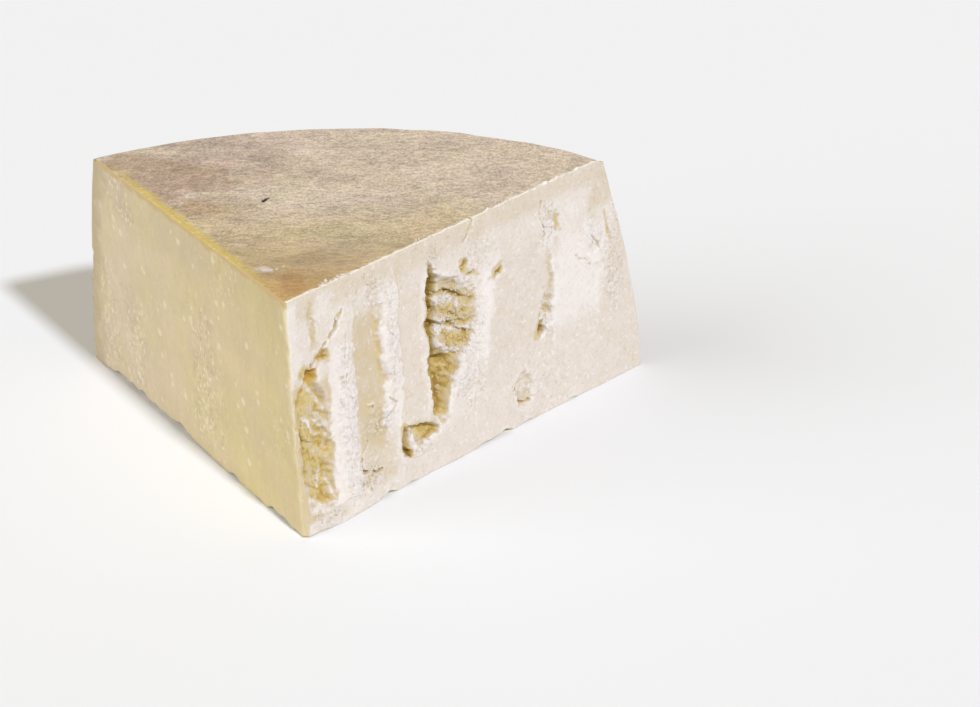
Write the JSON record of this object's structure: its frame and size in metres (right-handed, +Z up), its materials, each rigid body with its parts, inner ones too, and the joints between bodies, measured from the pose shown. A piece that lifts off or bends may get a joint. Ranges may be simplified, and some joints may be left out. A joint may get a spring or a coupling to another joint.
{
  "type": "hard cheese wheel piece",
  "caption": "Wedge-shaped piece from the top half of a hard, aged cheese wheel, with rind on its top and heel, a smooth cut side and a side broken open along the grain.",
  "frame": {"origin": "middle of the bounding box, at the underside that the piece rests on", "axes": "+X from the smooth cut side towards the broken side, along the longest extent; +Y from the pointed end towards the rind heel; +Z up, along the shortest extent"},
  "size_m": [0.2578, 0.2182, 0.1105],
  "materials": {
    "cheese": "dull, slightly waxy, pale straw yellow"
  },
  "bodies": {
    "root": {"cheese": "cheese"}
  },
  "joints": []
}
